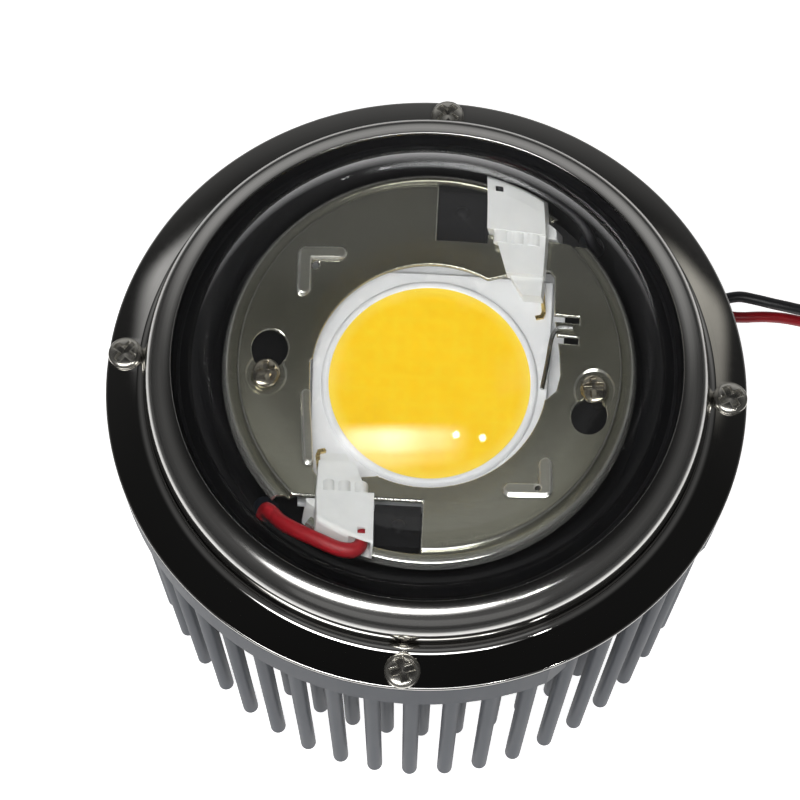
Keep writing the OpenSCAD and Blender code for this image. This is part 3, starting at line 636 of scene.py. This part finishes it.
def make_plate():
    """Pressed sheet: the flat with its cut-outs, rolled edges, ribs, groove and turned-down rim."""
    R = 32.3
    play = np.array((0.2, -1.95))
    cuts = [round_polygon(0, -1.5, 17.7, 144),
            np.array([(2, 0), (5.2, 14.2), (7.2, 14.15), (11, 15.3), (14, 16.1), (17.1, 16.6), (17.95, 15.8), (18.15, 9.3),
                      (19.2, 4), (19.65, 0.2), (19.2, -2.4), (18, -3.6), (15.8, -5.2)], float),
            np.array([(-2, 2), (-16.9, 1.6), (-17.95, 0.5), (-17.8, -7.8), (-17.3, -12.8), (-17.1, -17.5), (-16, -19),
                      (-10, -18.1), (-7.4, -17.8), (-3, -15)], float),
            round_polygon(-17.9, 15.8, 0.55, 24), round_polygon(17.8, -19, 0.5, 24),
            np.array([(18, 8.7), (22.2, 8.7), (22.2, 9.6), (18, 9.6)]), np.array([(18, 5.3), (22.2, 5.3), (22.2, 6.3), (18, 6.3)])]
    dishes = []
    for side, y0 in ((1, 20.4), (-1, 21.7)):
        cuts += [play + side * round_polygon(-24.75, 4.2, 3, 48), play + side * round_polygon(-25.3, -0.05, 1.45, 32),
                 play + side * np.array([(-26.75, -0.05), (-23.85, -0.05), (-23.3, 4.2), (-26.2, 4.2)])]
        dishes.append(play + side * np.array((-25.3, -0.05)))
        top = round_polygon(0, 0, 30.3, 14, math.degrees(math.acos(7.5 / 30.3)), 90)
        cuts.append(side * np.concatenate([[(0, y0), (7.5, y0)], top]))
        band = round_polygon(0, 0, 30.3, 20, 55, math.degrees(math.acos(7.4 / 30.3)))
        t = math.tan(math.radians(55))
        cuts.append(side * np.concatenate([[(7.4, 21.9), (36, 21.9), (36, 36 * t)], band]))
    bars = [((-19.8, 17.8), (-19.6, 11.8), 1.0), ((-19.8, 17.8), (-14.4, 17.6), 1.0), ((19.1, -19.2), (18.6, -14.8), 1.0),
            ((19.1, -19.2), (13.4, -19.3), 1.0), ((-18.5, -5.3), (-18, -15.9), 0.8)]
    bars = [(np.array(a), np.array(b), w) for a, b, w in bars]

    def sdf(P):
        return np.min([polygon_distance(P, c) for c in cuts], axis=0)

    # fixed outlines
    pts, edges = [], []
    for c in cuts + [round_polygon(0, 0, R, 400)]:
        dense = []
        for a, b in zip(c, np.roll(c, -1, axis=0)):
            n = max(1, int(np.hypot(*(b - a)) / 0.6))
            dense += [a + (b - a) * k / n for k in range(n)]
        o = len(pts)
        pts += dense
        edges += [(o + k, o + (k + 1) % len(dense)) for k in range(len(dense))]
    fixed = np.array(pts)
    # points between them, closer together where the sheet bends
    free = []
    for k, r in enumerate((29.3, 29.5, 29.65, 29.8, 29.92, 30.04, 30.16, 30.3, 30.44, 30.56, 30.68, 30.82, 31.0, 31.3, 31.55, 31.75, 31.9, 32.02, 32.12, 32.2, 32.26)):
        free.append(round_polygon(0, 0, r, 400, 0.45 * (k % 2), 360 + 0.45 * (k % 2)))
    g = np.arange(-29, 29.01, 0.6)
    gx, gy = np.meshgrid(g, g)
    gx = gx + 0.3 * (np.arange(len(g)) % 2)[:, None]
    grid = np.stack([gx.ravel(), gy.ravel()], 1)
    free.append(grid[np.hypot(grid[:, 0], grid[:, 1]) < 29])
    for c in cuts:
        area = 0.5 * float(np.sum(c[:, 0] * np.roll(c[:, 1], -1) - np.roll(c[:, 0], -1) * c[:, 1]))
        for a, b in zip(c, np.roll(c, -1, axis=0)):
            e = b - a
            length = float(np.hypot(*e))
            n = max(1, int(length / 0.35))
            out = np.array((e[1], -e[0])) / length * (1 if area > 0 else -1)
            mid = a + e * (np.arange(n)[:, None] + 0.5) / n
            for d in (0.05, 0.11, 0.18, 0.27, 0.38):
                free.append(mid + out * d)
    for a, b, w in bars:
        e = b - a
        length = float(np.hypot(*e))
        e = e / length
        u, v = np.meshgrid(np.arange(-1.6, length + 1.61, 0.25), np.arange(-1.6, 1.61, 0.16))
        free.append(a + u.ravel()[:, None] * e + v.ravel()[:, None] * np.array((-e[1], e[0])))
    for d in dishes:
        for r in np.arange(2.9, 3.9, 0.12):
            free.append(round_polygon(d[0], d[1], r, 60))
    free = np.concatenate(free)
    gap = sdf(free)
    free = free[(gap > 0.045) & (np.hypot(free[:, 0], free[:, 1]) < R - 0.03)]
    _, keep = np.unique(np.round(free / 0.06).astype(int), axis=0, return_index=True)
    free = free[np.sort(keep)]
    vs, _, fs, *_ = delaunay_2d_cdt([Vector(map(float, q)) for q in np.concatenate([fixed, free])], edges, [], 0, 1e-5)
    P = np.array([(v.x, v.y) for v in vs])
    F = np.array([f for f in fs if len(f) == 3])
    mid = P[F].mean(axis=1)
    F = F[(sdf(mid) > 0) & (np.hypot(mid[:, 0], mid[:, 1]) < R)]

    r = np.hypot(P[:, 0], P[:, 1])
    base = np.interp(r, (0, 29.7, 29.86, 29.98, 30.1, 30.35, 30.5, 30.62, 30.75, 31.2, 31.6, 31.85, 32.0, 32.12, 32.22, 32.3),
                     (76, 76, 75.95, 75.75, 75.35, 75.2, 75.3, 75.52, 75.63, 75.66, 75.66, 75.6, 75.5, 75.33, 75.08, 74.75))
    top = base.copy()
    for d in dishes:
        t = np.clip((3.65 - np.hypot(P[:, 0] - d[0], P[:, 1] - d[1])) / 0.6, 0, 1)
        top -= 0.35 * t * t * (3 - 2 * t)
    rib = np.zeros(len(P))
    for a, b, w in bars:
        e = b - a
        k = np.clip(((P - a) @ e) / float(e @ e), 0, 1)
        t = np.clip((w + 0.25 - np.hypot(P[:, 0] - a[0] - e[0] * k, P[:, 1] - a[1] - e[1] * k)) / 0.6, 0, 1)
        rib = np.maximum(rib, 0.65 * np.sin(t * PI / 2) ** 1.5)
    top += rib
    roll = 0.36
    d = np.clip(np.abs(sdf(P)), 0, roll)
    top -= np.where(r < R - 0.4, roll - np.sqrt(np.maximum(roll * roll - (roll - d) ** 2, 0)), 0)
    low = np.minimum(np.maximum(base - 0.5, 74.35), top - 0.12)
    edge_use = {}
    for f in F:
        for a, b in ((f[0], f[1]), (f[1], f[2]), (f[2], f[0])):
            edge_use.setdefault((min(a, b), max(a, b)), []).append((int(a), int(b)))
    n = len(P)
    faces = [list(map(int, f)) for f in F] + [[int(f[0]) + n, int(f[2]) + n, int(f[1]) + n] for f in F]
    faces += [[u[0][1], u[0][0], u[0][0] + n, u[0][1] + n] for u in edge_use.values() if len(u) == 1]
    used = np.unique(F)
    back = np.full(2 * n, -1)
    order = np.concatenate([used, used + n])
    back[order] = np.arange(len(order))
    both = np.concatenate([np.column_stack([P, top]), np.column_stack([P, low])])[order]
    verts = [from_holder(tuple(map(float, q))) for q in both]
    faces = [[int(back[i]) for i in f] for f in faces]
    for x, y in ((-24, 10.5), (-24, -12), (24, 13), (24, -13.5)):
        o = len(verts)
        for z in (Z_TOP, 75.6):
            verts += [from_holder((x + 1.2 * math.cos(2 * PI * k / 24), y + 1.2 * math.sin(2 * PI * k / 24), z)) for k in range(24)]
        faces += [[o + k, o + (k + 1) % 24, o + 24 + (k + 1) % 24, o + 24 + k] for k in range(24)]
        faces += [list(range(o, o + 24))[::-1], list(range(o + 24, o + 48))]
    return add(mesh_object("plate", verts, faces, 58), MAT["plated_sheet"], ("holder_plate",))


make_plate()

# ---------------------------------------------------------------- screws
def screw(cx, cy, z0, R, H, turn, shank_r, shank_l, rings=44, segs=132):
    """Pan head with a rounded cross recess on a plain shank."""
    i, k = np.meshgrid(np.arange(1, rings + 1) / rings, np.arange(segs) * 2 * PI / segs, indexing="ij")
    x, y = (R * i * np.cos(k)).ravel(), (R * i * np.sin(k)).ravel()
    x, y = np.append(x, 0.0), np.append(y, 0.0)
    r = np.hypot(x, y)
    z = H * (0.3 + 0.7 * np.sqrt(np.maximum(1 - (r / R) ** 2.6, 0)))
    c, s = math.cos(turn), math.sin(turn)
    u, v = np.abs(c * x + s * y), np.abs(-s * x + c * y)
    w, l = 0.22 * R, 0.70 * R
    d = np.minimum(np.maximum(u - w, v - l), np.maximum(v - w, u - l))
    t = np.clip((0.06 - d) / 0.2, 0, 1)
    z = z - t * t * (3 - 2 * t) * 0.62 * H * (1 - 0.45 * np.minimum(r / l, 1))
    verts = [(cx + float(a), cy + float(b), z0 + float(h)) for a, b, h in zip(x, y, z)]
    top = len(verts) - 1
    faces = [[top, n, (n + 1) % segs] for n in range(segs)]
    for a in range(rings - 1):
        faces += [[a * segs + n, (a + 1) * segs + n, (a + 1) * segs + (n + 1) % segs, a * segs + (n + 1) % segs] for n in range(segs)]
    last = (rings - 1) * segs
    for rr, zz in ((R, z0 + 0.08), (R - 0.08, z0), (shank_r, z0), (shank_r, z0 - shank_l + 0.3), (shank_r - 0.3, z0 - shank_l)):
        o = len(verts)
        verts += [(cx + rr * math.cos(2 * PI * n / segs), cy + rr * math.sin(2 * PI * n / segs), zz) for n in range(segs)]
        faces += [[last + n, o + n, o + (n + 1) % segs, last + (n + 1) % segs] for n in range(segs)]
        last = o
    faces.append([last + n for n in range(segs)][::-1])
    return verts, faces


def make_screws():
    for name, slot, node, rows in (
            ("flange_screws", "nickel_screw", "bezel_screws",
             [(56.8 * math.cos(a), 56.8 * math.sin(a), Z_FL, 3.2, 1.4, a + t, 1.5, 6.0)
              for a, t in ((0, 0.5), (PI / 2, 0.9), (PI, 1.0), (3 * PI / 2, 0.35))]),
            ("plate_screws", "small_screw", "holder_screws",
             [from_holder((0.2 + q * 25.3, -1.95 + q * 0.05)) + (Z_PLATE - 0.35, 2.4, 1.4, t, 1.25, 6.2) for q, t in ((1, 0.15), (-1, 0.25))])):
        verts, faces = [], []
        for row in rows:
            v, f = screw(*row)
            o = len(verts)
            verts += v
            faces += [[n + o for n in q] for q in f]
        add(mesh_object(name, verts, faces, 60), MAT[slot], (node,))


make_screws()

# ---------------------------------------------------------------- small CAD nodes with softened edges
for node, width in (("terminal_block_pos", 0.35), ("terminal_block_neg", 0.35),
                    ("insulator_tab_pos", 0.2), ("insulator_tab_neg", 0.2), ("cob_substrate", 0.15),
                    ("contact_spring_pos", 0.1), ("contact_spring_neg", 0.1), ("lead_tie", 0.3)):
    soften(node, width)


# ---------------------------------------------------------------- floor, lights, world
def make_floor():
    M = Mat("floor").put(Roughness=0.9)
    pale = M.ramp(M.noise(3.0, 2), [(0.3, (0.93, 0.93, 0.93)), (0.7, (0.95, 0.95, 0.95))])
    far = M.span(radial(M, 0, 0), 0.0, 1.0, 190, 300)
    M.to(M.mix(far, pale, (0.2, 0.2, 0.2)), "Base Color")
    M.put(Emission_Color=(1, 1, 1, 1))
    M.to(M.span(far, 0.95, 0.0), "Emission Strength")
    me = bpy.data.meshes.new("floor")
    s = 3.0
    me.from_pydata([(-s, -s, -0.00005), (s, -s, -0.00005), (s, s, -0.00005), (-s, s, -0.00005)], [], [(0, 1, 2, 3)])
    ob = bpy.data.objects.new("floor", me)
    me.materials.append(M.m)
    SCENE.collection.objects.link(ob)


def direction(az, el):
    a, e = math.radians(az), math.radians(el)
    return Vector((math.sin(a) * math.cos(e), math.cos(a) * math.cos(e), math.sin(e)))


def softbox(name, az, el, width, height, radiance, dist=1.0, roll=0.0, color=(1, 1, 1), at=(0, 0, 85)):
    """Rectangular light whose angular size is width x height degrees as seen from the lens."""
    data = bpy.data.lights.new(name, "AREA")
    data.shape = "RECTANGLE"
    data.size = 2 * dist * math.tan(math.radians(width) / 2)
    data.size_y = 2 * dist * math.tan(math.radians(height) / 2)
    data.energy = radiance * PI * data.size * data.size_y
    data.color = color
    ob = bpy.data.objects.new(name, data)
    d = direction(az, el)
    z = d
    x = Vector((0, 0, 1)).cross(z).normalized()
    y = z.cross(x)
    c, s = math.cos(math.radians(roll)), math.sin(math.radians(roll))
    x, y = c * x + s * y, -s * x + c * y
    m = Matrix((x, y, z)).transposed().to_4x4()
    m.translation = Vector(at) * MM + d * dist
    ob.matrix_world = m
    SCENE.collection.objects.link(ob)


def make_world():
    w = bpy.data.worlds.new("studio")
    SCENE.world = w
    w.use_nodes = True
    t = w.node_tree
    bg = next(n for n in t.nodes if n.type == "BACKGROUND")
    tc = t.nodes.new("ShaderNodeTexCoord")
    sep = t.nodes.new("ShaderNodeSeparateXYZ")
    t.links.new(tc.outputs["Generated"], sep.inputs[0])
    ramps = []
    for stops in ([(0.0, 0.05), (0.3, 0.07), (0.5, 0.09), (0.7, 0.07), (0.85, 0.03), (0.92, 0.012), (1.0, 0.008)],
                  [(0.0, 0.20), (0.2, 0.36), (0.45, 0.42), (0.64, 0.36), (0.77, 0.15), (0.85, 0.025), (0.92, 0.012), (1.0, 0.008)]):
        ramp = t.nodes.new("ShaderNodeValToRGB")
        t.links.new(sep.outputs["Z"], ramp.inputs["Fac"])
        e = ramp.color_ramp.elements
        while len(e) < len(stops):
            e.new(0.5)
        for el, (pos, v) in zip(e, stops):
            el.position = pos
            el.color = (v, v, v, 1)
        ramps.append(ramp)
    side = t.nodes.new("ShaderNodeMapRange")
    side.interpolation_type = "SMOOTHSTEP"
    side.inputs["From Min"].default_value, side.inputs["From Max"].default_value = -0.1, 0.42
    wide = t.nodes.new("ShaderNodeMath")
    wide.operation = "ABSOLUTE"
    t.links.new(sep.outputs["X"], wide.inputs[0])
    ahead = t.nodes.new("ShaderNodeMath")
    ahead.operation = "MULTIPLY_ADD"
    t.links.new(wide.outputs[0], ahead.inputs[0])
    ahead.inputs[1].default_value = -0.6
    t.links.new(sep.outputs["Y"], ahead.inputs[2])
    t.links.new(ahead.outputs[0], side.inputs["Value"])
    mix = t.nodes.new("ShaderNodeMix")
    mix.data_type = "RGBA"
    t.links.new(side.outputs["Result"], mix.inputs[0])
    t.links.new(ramps[0].outputs["Color"], [q for q in mix.inputs if q.name == "A" and q.type == "RGBA"][0])
    t.links.new(ramps[1].outputs["Color"], [q for q in mix.inputs if q.name == "B" and q.type == "RGBA"][0])
    t.links.new([q for q in mix.outputs if q.type == "RGBA"][0], bg.inputs["Color"])
    bg.inputs["Strength"].default_value = 1.0


def shade_light(name, across, along):
    """Lets a rectangular light fade over its width and height; across and along are ramps of strength."""
    data = bpy.data.lights[name]
    data.use_nodes = True
    t = data.node_tree
    em = next(n for n in t.nodes if n.type == "EMISSION")
    geo = t.nodes.new("ShaderNodeNewGeometry")
    sep = t.nodes.new("ShaderNodeSeparateXYZ")
    t.links.new(geo.outputs["Parametric"], sep.inputs[0])
    outs = []
    for axis, stops in (("X", across), ("Y", along)):
        ramp = t.nodes.new("ShaderNodeValToRGB")
        ramp.color_ramp.interpolation = "EASE"
        e = ramp.color_ramp.elements
        while len(e) < len(stops):
            e.new(0.5)
        for el, (pos, v) in zip(e, stops):
            el.position = pos
            el.color = (v, v, v, 1)
        t.links.new(sep.outputs[axis], ramp.inputs["Fac"])
        outs.append(ramp.outputs["Color"])
    mul = t.nodes.new("ShaderNodeMath")
    mul.operation = "MULTIPLY"
    t.links.new(outs[0], mul.inputs[0])
    t.links.new(outs[1], mul.inputs[1])
    t.links.new(mul.outputs[0], em.inputs["Strength"])


make_floor()
make_world()
softbox("key", -167, 57, 56, 20, 16.0, roll=17)
shade_light("key", [(0.0, 0.0), (0.28, 0.75), (0.42, 1.0), (0.7, 0.45), (1.0, 0.0)], [(0.0, 0.0), (0.3, 0.3), (0.55, 0.85), (0.7, 1.0), (1.0, 0.0)])
softbox("spot_a", 152, 61, 3.6, 3.6, 60.0)
shade_light("spot_a", [(0.0, 0.0), (0.5, 1.0), (1.0, 0.0)], [(0.0, 0.0), (0.5, 1.0), (1.0, 0.0)])
softbox("spot_b", 136, 55, 3.6, 3.6, 60.0)
shade_light("spot_b", [(0.0, 0.0), (0.5, 1.0), (1.0, 0.0)], [(0.0, 0.0), (0.5, 1.0), (1.0, 0.0)])
softbox("patch_a", -20.5, 62.5, 8, 8, 0.6, at=(-56, 14, 73.6))
softbox("patch_b", 17.5, 62.5, 8, 9, 0.55, color=(1, 0.97, 0.88), at=(56, 13, 73.6))
for patch in ("patch_a", "patch_b"):
    shade_light(patch, [(0.0, 0.0), (0.3, 0.8), (0.6, 1.0), (1.0, 0.0)], [(0.0, 0.0), (0.25, 1.0), (0.6, 0.7), (1.0, 0.0)])
softbox("fill", 178, 20, 70, 22, 0.12)
SCENE.view_settings.view_transform = "Standard"
